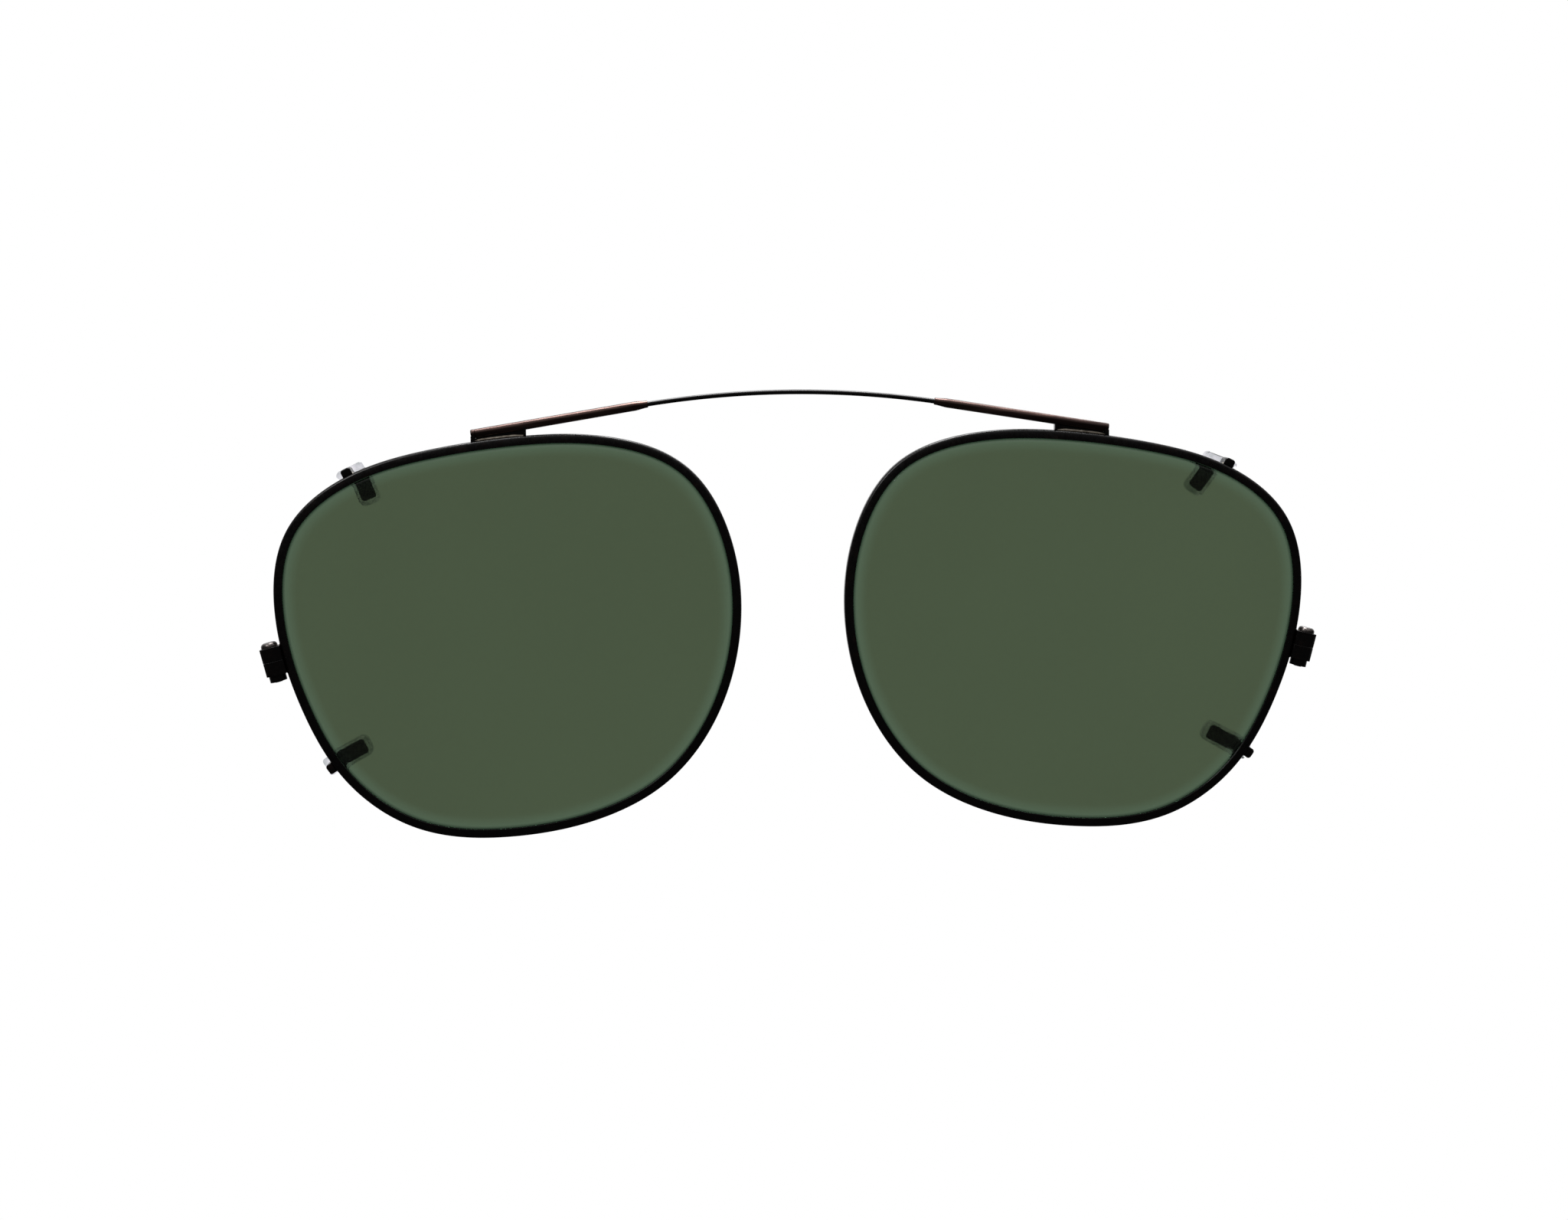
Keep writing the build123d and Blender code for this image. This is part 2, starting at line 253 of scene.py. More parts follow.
def put_rounded(node, bm, material):
    """Shows a piece with rounded edges, whose flat faces stay flat in shading, in place of a CAD node."""
    thing = put(node, bm, material)
    thing.modifiers.new("flat_faces", "WEIGHTED_NORMAL").keep_sharp = True
    return thing


def cut(bm, cutter):
    """Takes one bmesh out of another."""
    objects = []
    for part in (bm, cutter):
        mesh = bpy.data.meshes.new("cut")
        bmesh.ops.recalc_face_normals(part, faces=part.faces)
        part.to_mesh(mesh)
        part.free()
        objects.append(bpy.data.objects.new("cut", mesh))
        bpy.context.scene.collection.objects.link(objects[-1])
    modifier = objects[0].modifiers.new("cut", "BOOLEAN")
    modifier.object = objects[1]
    modifier.solver = "EXACT"
    evaluated = objects[0].evaluated_get(bpy.context.evaluated_depsgraph_get())
    result = bmesh.new()
    result.from_mesh(evaluated.to_mesh())
    for thing in objects:
        bpy.data.objects.remove(thing)
    return result


def rounded_copy(side, name, kind, crease=30):
    """A CAD node's shape in millimetres, with its sharp outer edges rounded as ROUNDINGS says."""
    width, segments = ROUNDINGS[kind]
    bm = bmesh.new()
    bm.from_mesh(frame["nodes"][f"{side}_{name}"].data)
    bmesh.ops.scale(bm, vec=(1 / MM, 1 / MM, 1 / MM), verts=bm.verts)
    bmesh.ops.remove_doubles(bm, verts=bm.verts, dist=0.0005)
    bmesh.ops.dissolve_limit(bm, angle_limit=radians(2), verts=bm.verts, edges=bm.edges)

    sharp = [e for e in bm.edges if e.calc_face_angle(0.0) > radians(crease)]
    inner = {v for e in sharp if not e.is_convex for v in e.verts}
    outer = [
        e for e in sharp
        if e.is_convex and (e.calc_length() > SHORT_EDGE or not inner.intersection(e.verts))
    ]
    bmesh.ops.bevel(
        bm, geom=outer, offset=width, segments=segments, profile=0.5, affect="EDGES", clamp_overlap=False
    )
    return bm


# Curves that the pieces share


class Outline:
    """A smooth closed curve through points, each measured along by its distance from the first."""

    def __init__(self, points):
        self.points = np.array(points, float)
        self.spans = np.linalg.norm(np.roll(self.points, -1, 0) - self.points, axis=1)
        self.starts = np.concatenate([[0.0], np.cumsum(self.spans)])
        count = len(points)
        matrix, right = np.zeros((count, count)), np.zeros((count, 2))
        for i in range(count):
            before, after = self.spans[i - 1], self.spans[i]
            following = (i + 1) % count
            matrix[i, i - 1] += 1 / before
            matrix[i, i] += 2 / before + 2 / after
            matrix[i, following] += 1 / after
            right[i] = 3 * (self.points[i] - self.points[i - 1]) / before**2
            right[i] += 3 * (self.points[following] - self.points[i]) / after**2
        self.slopes = np.linalg.solve(matrix, right)
        places = np.linspace(0, self.starts[-1], 4001)
        lengths = np.linalg.norm(np.diff(self.at(places)[0], axis=0), axis=1)
        self.places, self.measured = places, np.concatenate([[0.0], np.cumsum(lengths)])
        self.length = self.measured[-1]

    def at(self, places):
        """Points and outward directions at these places of the spline's own measure."""
        places = np.asarray(places) % self.starts[-1]
        index = np.clip(np.searchsorted(self.starts, places, side="right") - 1, 0, len(self.spans) - 1)
        span = self.spans[index][:, None]
        share = (places - self.starts[index])[:, None] / span
        start, end = self.points[index], np.roll(self.points, -1, 0)[index]
        slope, next_slope = self.slopes[index] * span, np.roll(self.slopes, -1, 0)[index] * span
        square, cube = share**2, share**3
        point = (2 * cube - 3 * square + 1) * start + (cube - 2 * square + share) * slope
        point += (3 * square - 2 * cube) * end + (cube - square) * next_slope
        along = (6 * square - 6 * share) * (start - end) + (3 * square - 4 * share + 1) * slope
        along += (3 * square - 2 * share) * next_slope
        along /= np.linalg.norm(along, axis=1)[:, None]
        return point, np.stack([along[:, 1], -along[:, 0]], axis=1)

    def along(self, distances):
        """Points and outward directions at true distances along the curve."""
        return self.at(np.interp(np.asarray(distances) % self.length, self.measured, self.places))

    def nearest(self, point):
        """The true distance along the curve of the place nearest to a point."""
        found = self.at(self.places)[0]
        return self.measured[np.argmin(np.linalg.norm(found - np.array(point), axis=1))]


OUTLINE = Outline(RIM_OUTLINE)


def on_sphere(flat, height):
    """Points in the frame's axes, from points about the lens centre, this far in front of the curve that
    rim and lens share."""
    reach = (flat**2).sum(axis=1)
    depth = SPHERE_Y - np.sqrt((CURVE_RADIUS + height) ** 2 - reach)
    return np.stack([flat[:, 0] + LENS_X, depth, flat[:, 1]], axis=1)


def edge_ring(distances, inset, height):
    """Points that follow the rim's outline, this far inside it and in front of the shared curve."""
    points, outwards = OUTLINE.along(distances)
    return on_sphere(points - outwards * inset, height)


def shares(steps):
    """The numbers from 0 to 1 in this many equal steps."""
    return [i / steps for i in range(steps + 1)]


def arc(centre, radius, start, end, steps):
    """Points of an arc in a section, from one angle to another in degrees."""
    angles = [radians(start + (end - start) * share) for share in shares(steps)]
    return [(centre[0] + radius * cos(a), centre[1] + radius * sin(a)) for a in angles]


def round_ring(middle, radius, across):
    """A ring of points round a middle, in the plane of across and the back direction."""
    return [middle + radius * (cos(a) * across + sin(a) * BACK) for a in TURNS]


def along_tube(radius, distance):
    """A ring of this radius round the tube's axis, at a distance from TUBE_POINT."""
    return round_ring(TUBE_POINT + TUBE_AXIS * distance, radius, TUBE_ACROSS)


# Rims and lenses


def rim():
    """The eyewire: its rounded, grooved section swept from one side of the saw cut to the other."""
    half, soft = RIM_DEPTH / 2, RIM_INNER_ROUNDING
    groove = GROOVE_WIDTH / 2
    front = arc((RIM_ROUNDING, half - RIM_ROUNDING), RIM_ROUNDING, 180, 90, 7)
    front += arc((RIM_WIDTH - soft, half - soft), soft, 90, 0, 3)
    front += arc((RIM_WIDTH - soft, groove + soft), soft, 0, -90, 3)
    front += [(RIM_WIDTH - GROOVE_DEPTH, groove)]
    section = front + [(inset, -height) for inset, height in reversed(front)]
    start = OUTLINE.nearest(BLOCK_AT) + RIM_SPLIT / 2
    distances = start + np.linspace(0, OUTLINE.length - RIM_SPLIT, RIM_STEPS)
    tracks = np.array([edge_ring(distances, inset, height) for inset, height in section])
    return ring_mesh(tracks.transpose(1, 0, 2))


def lens():
    """The lens: two spherical faces, a polished bevel on each and a tongue round the edge."""
    edge = RIM_WIDTH + LENS_GAP
    tongue = RIM_WIDTH - TONGUE_REACH
    half, thin = LENS_THICKNESS / 2, TONGUE_THICKNESS / 2
    profile = [
        (edge + LENS_BEVEL, half), (edge + LENS_BEVEL / 2, half - BEVEL_DROP / 4), (edge, half - BEVEL_DROP),
        (edge, thin + 0.04), (RIM_WIDTH, thin), (tongue + 0.06, thin * 0.9), (tongue, thin * 0.6),
    ]
    profile += [(inset, -height) for inset, height in reversed(profile)]
    distances = np.linspace(0, OUTLINE.length, LENS_STEPS, endpoint=False)
    points, outwards = OUTLINE.along(distances)
    flat = points - outwards * profile[0][0]
    reaches = 1 - np.linspace(0.98, 0, LENS_RINGS)[:-1] ** 1.6
    rings = [on_sphere(flat * reach, half) for reach in reaches]
    rings += [edge_ring(distances, inset, height) for inset, height in profile]
    rings += [on_sphere(flat * reach, -half) for reach in reversed(reaches)]
    bm = ring_mesh(rings, poles=True)
    mark_edge(bm, points - outwards * edge)
    return bm


def mark_edge(bm, border):
    """Writes on each point how near it is to the lens's visible border: 1 there and outside it, falling to
    0 at EDGE_FADE inwards."""
    # The glass paints its highlight and its shade by this nearness.
    layer = bm.verts.layers.float.new("edge")
    for vert in bm.verts:
        gap = np.linalg.norm(border - (vert.co.x - LENS_X, vert.co.z), axis=1).min()
        vert[layer] = max(0.0, 1 - gap / EDGE_FADE)


# Bridge


def bridge_wire():
    """The spring wire: straight in each tube, with one tangent arch between."""
    peak = TUBE_POINT.z + TUBE_POINT.x * tan(TUBE_TILT)
    radius = (peak - WIRE_APEX) / (1 / cos(TUBE_TILT) - 1)
    end = TUBE_AXIS * PLUG_INNER + TUBE_POINT
    arch = [TUBE_TILT * (2 * share - 1) for share in shares(ARCH_STEPS)]
    stops = [(radius * sin(a), WIRE_APEX - radius * (1 - cos(a)), a) for a in arch]
    bend_x, bend_z, _ = stops[-1]
    straight = shares(STRAIGHT_STEPS)[1:]
    outer = [(bend_x + (end.x - bend_x) * t, bend_z + (end.z - bend_z) * t, TUBE_TILT) for t in straight]
    stops = [(-x, z, -a) for x, z, a in reversed(outer)] + stops + outer
    return ring_mesh([
        round_ring(Vector((x, TUBE_POINT.y, z)), WIRE_RADIUS, Vector((sin(a), 0, cos(a))))
        for x, z, a in stops
    ])


def bridge_tube():
    """The tube: a thin wall with a swaged nose round the wire and broken edges."""
    step = TUBE_RADIUS - NOSE_TIP
    profile = [
        (NOSE_BORE, TUBE_IN + EDGE_BREAK), (NOSE_BORE + EDGE_BREAK, TUBE_IN), (NOSE_TIP - EDGE_BREAK, TUBE_IN)
    ]
    profile += [
        (NOSE_TIP + step * (1 - cos(pi * t)) / 2, TUBE_IN + EDGE_BREAK + (NOSE_LENGTH - EDGE_BREAK) * t)
        for t in shares(10)
    ]
    end = TUBE_OUT - PLUG_CAP
    profile += [(TUBE_RADIUS, end - 2), (TUBE_RADIUS, end - EDGE_BREAK), (TUBE_RADIUS - EDGE_BREAK, end)]
    profile += [(TUBE_BORE, end), (TUBE_BORE, TUBE_IN + SPRING_SEAT), (NOSE_BORE, TUBE_IN + SPRING_SEAT)]
    return ring_mesh([along_tube(radius, distance) for radius, distance in profile], closed=True)


def tube_plug():
    """The plug: a domed cap on the tube's end and a stem inside it."""
    neck = TUBE_OUT - PLUG_CAP
    crown = arc((0, 0), 1, 0, 80, 8)
    centre = 0.05  # radius of the ring round each end's middle point
    profile = [
        (centre, PLUG_INNER), (TUBE_BORE - EDGE_BREAK, PLUG_INNER), (TUBE_BORE, PLUG_INNER + EDGE_BREAK),
        (TUBE_BORE, neck), (TUBE_RADIUS - EDGE_BREAK, neck), (TUBE_RADIUS, neck + EDGE_BREAK),
    ]
    profile += [
        (TUBE_RADIUS + PLUG_ROUNDING * (u - 1), TUBE_OUT + PLUG_ROUNDING * (v - 1)) for u, v in crown
    ]
    profile += [(centre, TUBE_OUT)]
    return ring_mesh([along_tube(radius, distance) for radius, distance in profile], poles=True)


def spring():
    """The coil spring round the wire, between the tube's step and the collar."""
    start = TUBE_IN + SPRING_SEAT + SPRING_WIRE + SPRING_END_GAP
    height = COLLAR_INNER - SPRING_WIRE - SPRING_END_GAP - start
    steps = SPRING_TURNS * SPRING_TURN_STEPS
    sides = [tau * i / SPRING_SIDES for i in range(SPRING_SIDES)]
    rings = []
    for i in range(steps + 1):
        turn = tau * SPRING_TURNS * i / steps
        out = cos(turn) * TUBE_ACROSS + sin(turn) * BACK
        middle = TUBE_POINT + TUBE_AXIS * (start + height * i / steps) + out * SPRING_RADIUS
        rings.append([middle + SPRING_WIRE * (cos(s) * out + sin(s) * TUBE_AXIS) for s in sides])
    return ring_mesh(rings)


# Closing screw, sleeves and solder, each placed on the rim's edge


def rim_matrix(distance):
    """The frame on the rim's outer edge at this distance: x out of the rim, y back, z along the rim. Its
    origin is at the middle of the rim's depth."""
    point, outwards = (found[0] for found in OUTLINE.along([distance]))
    depth = SPHERE_Y - sqrt(CURVE_RADIUS**2 - (point**2).sum())
    x_axis = Vector((outwards[0], 0, outwards[1]))
    z_axis = Vector((-outwards[1], 0, outwards[0]))
    matrix = Matrix((x_axis, BACK, z_axis)).transposed().to_4x4()
    matrix.translation = (point[0] + LENS_X, depth, point[1])
    return matrix


def block_screw():
    """The closing screw: a domed head with a slot, and a shank with its thread's crests."""
    top, bottom = BLOCK_HALF_HEIGHT, -BLOCK_HALF_HEIGHT - BOSS_HEIGHT - SCREW_TIP
    start, threaded = bottom + SCREW_CHAMFER, top - bottom - 2 * SCREW_CHAMFER
    centre = 0.03  # radius of the ring round each end's middle point
    profile = [(centre, bottom), (SCREW_RADIUS - SCREW_NARROWING, bottom), (SCREW_RADIUS - EDGE_BREAK, start)]
    for i in range(1, THREAD_CRESTS):
        radius = SCREW_RADIUS - (THREAD_DEPTH if i % 2 else 0)
        profile.append((radius, start + threaded * i / THREAD_CRESTS))
    profile += [(SCREW_RADIUS, top), (HEAD_RADIUS - HEAD_BREAK, top), (HEAD_RADIUS, top + HEAD_BREAK)]
    profile += arc((HEAD_RADIUS - HEAD_ROUNDING, top + HEAD_HEIGHT - HEAD_ROUNDING), HEAD_ROUNDING, 0, 84, 9)
    profile.append((centre, top + HEAD_HEIGHT))
    rings = [[Vector((r * cos(a), r * sin(a), z)) for a in TURNS] for r, z in profile]
    slot = bmesh.new()
    bmesh.ops.create_cube(slot, size=1)
    bmesh.ops.scale(slot, vec=(4, SLOT_WIDTH, 1), verts=slot.verts)
    bmesh.ops.translate(slot, vec=(0, 0, top + HEAD_HEIGHT - SLOT_DEPTH + 0.5), verts=slot.verts)
    screw = cut(ring_mesh(rings, poles=True), slot)
    place = rim_matrix(OUTLINE.nearest(BLOCK_AT)) @ Matrix.Translation((SCREW_OFFSET, 0, 0))
    bmesh.ops.transform(screw, matrix=place, verts=screw.verts)
    return screw


def soft_sleeve(side, kind):
    """A sleeve, rounded, with its flap drawn out and a little uneven, as soft plastic is."""
    bm = rounded_copy(side, f"{kind}_claw_sleeve", "claw_sleeve")
    away, inward, out, lean = FLAPS[f"{side}_{kind}"]
    mirror = Matrix.Scale(-1 if side == "left" else 1, 4, Vector((1, 0, 0)))
    place = mirror @ rim_matrix(OUTLINE.nearest(CLAW_AT[kind]))
    back = place.inverted()
    for vert in bm.verts:
        x, y, z = back @ vert.co
        share = min(1.0, max(0.0, x / 0.4 + 1))  # 0 behind the rim, 1 outside it
        wave = FLAP_WAVE * sin(5.1 * z + 2.3 * y) * cos(3.7 * x + 1.9 * y)
        x += share * (out + lean * z + wave)
        z *= 1 + share * ((inward if z > 0 else away) - 1)
        vert.co = place @ Vector((x, y + share * wave, z))
    return bm


def bead(stops, bm=None):
    """A hollow fillet of solder. A stop is (corner, one way, other way, size), and the fillet reaches its
    size up each of the two ways from the corner."""
    rings = []
    for corner, one, other, size in stops:
        turns = [radians(90 * share) for share in shares(6)]
        hollow = [corner + size * ((1 - sin(a)) * one + (1 - cos(a)) * other) for a in turns]
        rings.append(hollow + [corner - SOLDER_ROOT * (one + other)])
    return ring_mesh(rings, bm=bm)


def swell(share):
    """How full a bead is at this share of its length: it runs out to nothing much at its ends."""
    return 0.25 + 0.75 * min(1.0, 5 * share, 5 * (1 - share))


def bracket_solder():
    """The beads along the bracket's foot, before and behind its web."""
    across, height = OUTLINE.at(OUTLINE.places)[0].T
    across = across + LENS_X
    reached = OUTLINE.measured[(across > BRACKET_INNER_X) & (across < TUBE_OUTER_X) & (height > 0)]
    reached = reached - OUTLINE.length * (reached > OUTLINE.length / 2)  # across the outline's first point
    bm = bmesh.new()
    for way in (-1, 1):
        stops = []
        for share in shares(30):
            matrix = rim_matrix(reached.min() + (reached.max() - reached.min()) * share)
            corner = matrix.translation.copy()
            corner.y = TUBE_POINT.y + way * BRACKET_WEB / 2
            stops.append((corner, matrix.col[0].xyz, way * BACK, BRACKET_BEAD * swell(share)))
        bead(stops, bm)
    return bm


def foot_solder(at, reach, depth, size):
    """The beads on both sides of a part that stands on the rim's outer edge, reach from its middle."""
    middle = OUTLINE.nearest(at)
    bm = bmesh.new()
    for way in (-1, 1):
        matrix = rim_matrix(middle + way * reach)
        along = matrix.col[2].xyz * way
        stops = []
        for share in shares(16):
            corner = matrix @ Vector((0, depth * (2 * share - 1), 0))
            stops.append((corner, matrix.col[0].xyz, along, size * swell(share)))
        bead(stops, bm)
    return bm


# Materials

GLASS_DEEP = (0.0660, 0.0920, 0.0525)
GLASS_PALE = (0.0690, 0.0965, 0.0550)
# Painted highlight: the paler border inside the rim.
GLASS_PAINTED_HIGHLIGHT = (0.088, 0.136, 0.088)  # in the paler border
# Painted shade right beside the rim.
GLASS_PAINTED_SHADE = (0.004, 0.013, 0.007)  # right beside the rim


def shader(tree, kind, **values):
    """Adds a node and sets its inputs by name, with underscores for spaces."""
    node = tree.nodes.new("ShaderNode" + kind)
    for name, value in values.items():
        node.inputs[name.replace("_", " ")].default_value = value
    return node


def noise(tree, place, scale, detail=4.0, roughness=0.55):
    """A noise texture with this many cells per metre."""
    node = shader(tree, "TexNoise", Scale=scale, Detail=detail, Roughness=roughness)
    tree.links.new(place, node.inputs["Vector"])
    return node.outputs["Fac"]


def ramp(tree, factor, stops):
    """A colour ramp: stops are (position, (r, g, b))."""
    node = tree.nodes.new("ShaderNodeValToRGB")
    while len(node.color_ramp.elements) < len(stops):
        node.color_ramp.elements.new(0.5)
    for element, (position, colour) in zip(node.color_ramp.elements, stops):
        element.position = position
        element.color = (*colour, 1)
    tree.links.new(factor, node.inputs["Fac"])
    return node.outputs["Color"]


def spread(tree, factor, low, high):
    """Maps a noise's usual 0.3 to 0.7 to another range."""
    node = shader(tree, "MapRange", From_Min=0.3, From_Max=0.7, To_Min=low, To_Max=high)
    tree.links.new(factor, node.inputs["Value"])
    return node.outputs["Result"]


def material(name, shades, rough, cells, relief, stretch=(1, 1, 1), turn=0.0, **constants):
    """A surface whose colour, roughness and relief come from noise. cells is (colour, roughness, relief)
    cells per metre, relief its depth in metres, and stretch draws the pattern out along turned axes."""
    result = bpy.data.materials.new(name)
    result.use_nodes = True
    tree = result.node_tree
    skin = tree.nodes["Principled BSDF"]
    for key, value in constants.items():
        skin.inputs[key.replace("_", " ")].default_value = value
    where = shader(tree, "TexCoord").outputs["Object"]
    mapping = shader(tree, "Mapping", Scale=stretch, Rotation=(0, turn, 0))
    tree.links.new(where, mapping.inputs["Vector"])
    place = mapping.outputs["Vector"]
    tree.links.new(ramp(tree, noise(tree, place, cells[0]), shades), skin.inputs["Base Color"])
    tree.links.new(spread(tree, noise(tree, place, cells[1], 6.0), *rough), skin.inputs["Roughness"])
    bump = shader(tree, "Bump", Strength=0.5, Distance=relief)
    tree.links.new(noise(tree, place, cells[2], 8.0, 0.65), bump.inputs["Height"])
    tree.links.new(bump.outputs["Normal"], skin.inputs["Normal"])
    return result


def glass():
    """The dark green lens glass: clear and polished. Its tint is lighter in slow, faint clouds. A painted
    highlight makes a paler border inside the rim, and painted shade makes it dark right beside the rim."""
    result = bpy.data.materials.new("green_glass")
    result.use_nodes = True
    tree = result.node_tree
    skin = tree.nodes["Principled BSDF"]
    for name, value in (("Transmission Weight", 1.0), ("IOR", 1.5), ("Roughness", 0.0)):
        skin.inputs[name].default_value = value
    place = shader(tree, "TexCoord").outputs["Object"]
    tint = ramp(tree, noise(tree, place, 35, 2.0), [(0.3, GLASS_DEEP), (0.7, GLASS_PALE)])
    edge = shader(tree, "Attribute")
    edge.attribute_name = "edge"
    # A painted highlight over the paler border, then painted shade right beside the rim.
    for colour, start in ((GLASS_PAINTED_HIGHLIGHT, 0.0), (GLASS_PAINTED_SHADE, 1 - EDGE_SHADE / EDGE_FADE)):
        reach = shader(tree, "MapRange", From_Min=start)
        blend = shader(tree, "MixRGB", Color2=(*colour, 1))
        tree.links.new(edge.outputs["Fac"], reach.inputs["Value"])
        tree.links.new(reach.outputs["Result"], blend.inputs["Fac"])
        tree.links.new(tint, blend.inputs["Color1"])
        tint = blend.outputs["Color"]
    tree.links.new(tint, skin.inputs["Base Color"])
    return result


BLACK = material(
    "black_plating",
    [(0.35, (0.0008, 0.0006, 0.0007)), (0.6, (0.0022, 0.0013, 0.0013)), (0.8, (0.009, 0.0042, 0.0034))],
    (0.2, 0.34), (900, 2600, 7000), 1.5e-6, Metallic=0.0, IOR=1.5, Specular_IOR_Level=0.3,
)
GUNMETAL = material(
    "gunmetal_plating",
    [(0.3, (0.03, 0.019, 0.017)), (0.55, (0.065, 0.039, 0.034)), (0.8, (0.15, 0.09, 0.076))],
    (0.2, 0.32), (1200, 3500, 5000), 1e-6, stretch=(0.06, 1, 1), Metallic=0.9,
)
SOLDER = material(
    "solder",
    [(0.3, (0.16, 0.14, 0.11)), (0.55, (0.32, 0.28, 0.23)), (0.8, (0.5, 0.46, 0.4))],
    (0.25, 0.45), (1800, 3000, 7000), 4e-6, Metallic=0.85,
)
STEEL = material(
    "screw_steel",
    [(0.3, (0.055, 0.05, 0.048)), (0.6, (0.14, 0.125, 0.12)), (0.8, (0.24, 0.2, 0.18))],
    (0.2, 0.36), (2500, 5000, 9000), 4e-6, Metallic=0.9,
)
SPRING_STEEL = material(
    "spring_steel",
    [(0.3, (0.3, 0.29, 0.28)), (0.7, (0.55, 0.54, 0.52))],
    (0.18, 0.3), (3000, 5000, 9000), 2e-6, Metallic=1.0,
)
SLEEVE = material(
    "soft_sleeve",
    [(0.35, (0.4, 0.45, 0.43)), (0.5, (0.62, 0.62, 0.66)), (0.65, (0.84, 0.82, 0.87))],
    (0.05, 0.14), (600, 1500, 1800), 1.2e-5, IOR=1.3, Transmission_Weight=1.0,
)
GLASS = glass()


# Stage

DIM = 0.05  # how bright the room in front looks in a reflection
BRIGHT = 0.9  # how bright it looks above and behind
FLOOR_SIZE = 40  # metres
FLOOR_DROP = 0.03  # metres from the lowest rim to the floor


def two_faced(tree, shown, reflected):
    """Mixes two shaders: one for rays that come straight or through glass, one for every other ray."""
    path = shader(tree, "LightPath")
    straight = shader(tree, "Math")
    straight.operation = "MAXIMUM"
    tree.links.new(path.outputs["Is Camera Ray"], straight.inputs[0])
    tree.links.new(path.outputs["Is Transmission Ray"], straight.inputs[1])
    mix = shader(tree, "MixShader")
    tree.links.new(straight.outputs[0], mix.inputs["Fac"])
    tree.links.new(reflected.outputs[0], mix.inputs[1])
    tree.links.new(shown.outputs[0], mix.inputs[2])
    return mix.outputs[0]


def room(tree, direction):
    """How bright the room looks in a direction, in a reflection: bright above and level behind, or dim."""
    height = shader(tree, "SeparateXYZ")
    tree.links.new(direction, height.inputs[0])
    parts = []
    for axis, start, end, low, high in (
        ("Z", 0.3, 0.8, DIM, BRIGHT), ("Y", 0.3, 0.7, 0.0, BRIGHT), ("Z", -0.5, -0.2, 0.0, 1.0)
    ):
        part = shader(tree, "MapRange", From_Min=start, From_Max=end, To_Min=low, To_Max=high)
        tree.links.new(height.outputs[axis], part.inputs["Value"])
        parts.append(part.outputs["Result"])
    above, behind, level = parts
    for operation, other in (("MULTIPLY", level), ("MAXIMUM", above)):
        step = shader(tree, "Math")
        step.operation = operation
        tree.links.new(behind, step.inputs[0])
        tree.links.new(other, step.inputs[1])
        behind = step.outputs[0]
    return behind


def surroundings():
    """White all round, with a room for what the metal and the glass mirror."""
    world = bpy.data.worlds.new("surroundings")
    bpy.context.scene.world = world
    world.use_nodes = True
    tree = world.node_tree
    tree.nodes.clear()
    mirrored = shader(tree, "Background", Color=(1, 1, 1, 1))
    tree.links.new(room(tree, shader(tree, "TexCoord").outputs["Generated"]), mirrored.inputs["Strength"])
    white = shader(tree, "Background", Color=(1, 1, 1, 1), Strength=1.0)
    output = shader(tree, "OutputWorld")
    tree.links.new(two_faced(tree, white, mirrored), output.inputs["Surface"])


def floor():
    """A plain, pale, evenly lit floor, well below the glasses."""
    bpy.ops.mesh.primitive_plane_add(size=FLOOR_SIZE, location=(0, 0, cad_box[0][2] - FLOOR_DROP))
    ground = bpy.context.object
    ground.name = "floor"
    surface = bpy.data.materials.new("pale_floor")
    surface.use_nodes = True
    tree = surface.node_tree
    tree.nodes.clear()
    white = shader(tree, "Emission", Color=(1, 1, 1, 1), Strength=1.0)
    direction = shader(tree, "VectorMath")
    direction.operation = "NORMALIZE"
    tree.links.new(shader(tree, "NewGeometry").outputs["Position"], direction.inputs[0])
    mirrored = shader(tree, "Emission", Color=(1, 1, 1, 1))
    tree.links.new(room(tree, direction.outputs["Vector"]), mirrored.inputs["Strength"])
    output = shader(tree, "OutputMaterial")
    tree.links.new(two_faced(tree, white, mirrored), output.inputs["Surface"])
    ground.data.materials.append(surface)


def lights():
    """Three soft boxes: overhead, front left and behind, all above what the lenses mirror to the front."""
    for name, place, size, power in (
        ("overhead", (0.0, 0.08, 0.5), 0.3, 5.5),
        ("front_left", (-0.42, -0.34, 0.46), 0.22, 1.2),
        ("behind", (0.25, 0.45, 0.36), 0.22, 0.8),
    ):
        light = bpy.data.lights.new(name, "AREA")
        light.size, light.energy = size, power
        lamp = bpy.data.objects.new(name, light)
        bpy.context.scene.collection.objects.link(lamp)
        lamp.location = place
        lamp.rotation_euler = (-Vector(place)).to_track_quat("-Z", "Y").to_euler()


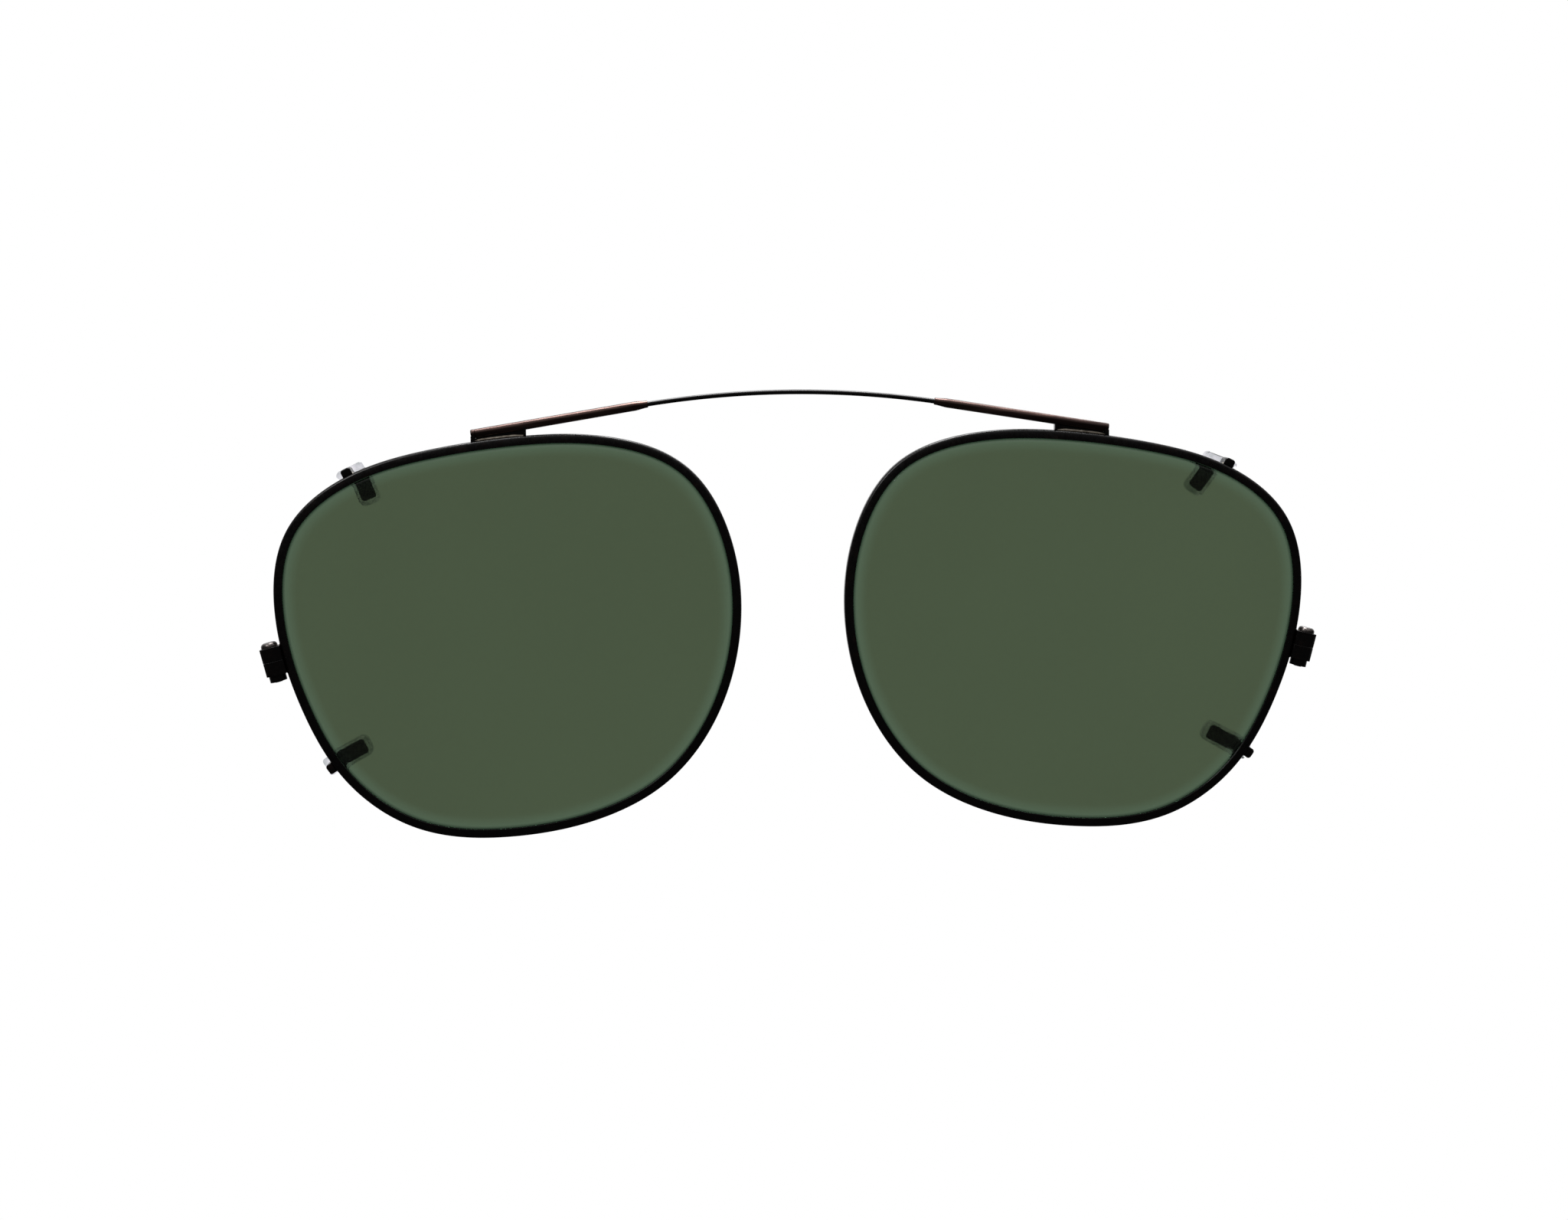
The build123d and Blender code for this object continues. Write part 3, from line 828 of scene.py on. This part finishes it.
def camera():
    """The camera in front and to the left, a little above, looking slightly down."""
    yaw, pitch, roll = radians(3.10), radians(5.0), radians(-0.506)
    distance, target = 0.3, Vector((0, -0.001, 0.00664))
    forward = Vector((sin(yaw) * cos(pitch), cos(yaw) * cos(pitch), -sin(pitch)))
    level = Vector((cos(yaw), -sin(yaw), 0))
    upright = level.cross(forward)
    right = cos(roll) * level + sin(roll) * upright
    up = cos(roll) * upright - sin(roll) * level
    lens_data = bpy.data.cameras.new("camera")
    lens_data.sensor_width = 36
    lens_data.lens = 60.645
    lens_data.shift_x, lens_data.shift_y = -0.00568, -0.02246
    lens_data.clip_start = 0.01
    view = bpy.data.objects.new("camera", lens_data)
    bpy.context.scene.collection.objects.link(view)
    view.matrix_world = Matrix.Translation(target - forward * distance) @ Matrix(
        (right, up, -forward)
    ).transposed().to_4x4()
    bpy.context.scene.camera = view


# Assembly


def assemble():
    """Every piece, in place of its CAD node."""
    put("bridge_wire", bridge_wire(), BLACK)
    for side in SIDES:
        left = side == "left"
        put(f"{side}_rim", rim(), BLACK, left)
        put(f"{side}_lens", lens(), GLASS, left, 12)
        put(f"{side}_bridge_tube", bridge_tube(), GUNMETAL, left)
        put(f"{side}_tube_plug", tube_plug(), GUNMETAL, left)
        put(f"{side}_block_screw", block_screw(), STEEL, left)
        for kind, skin in (("tube_bracket", BLACK), ("wire_collar", STEEL)):
            put_rounded(f"{side}_{kind}", rounded_copy(side, kind, kind), skin)
        for half in ("upper", "lower"):
            for kind in ("block", "claw"):
                put_rounded(f"{side}_{half}_{kind}", rounded_copy(side, f"{half}_{kind}", kind), BLACK)
            put_rounded(f"{side}_{half}_claw_sleeve", soft_sleeve(side, half), SLEEVE)
        body = f"{side}_frame"
        add(f"{side}_bracket_solder", bracket_solder(), SOLDER, body, left)
        block_beads = foot_solder(BLOCK_AT, BLOCK_HALF_HEIGHT, SOLDER_DEPTH, BLOCK_BEAD)
        add(f"{side}_block_solder", block_beads, SOLDER, body, left)
        for kind, at in CLAW_AT.items():
            beads = foot_solder(at, CLAW_FOOT, SOLDER_DEPTH, CLAW_BEAD)
            add(f"{side}_{kind}_claw_solder", beads, SOLDER, body, left)
        coil = put(f"{side}_spring", spring(), SPRING_STEEL, left)
        anchor = TUBE_POINT + TUBE_AXIS * COLLAR_INNER
        if left:
            anchor.x = -anchor.x
        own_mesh(coil)


surroundings()
floor()
lights()
camera()
assemble()
bpy.context.scene.view_settings.view_transform = "Standard"
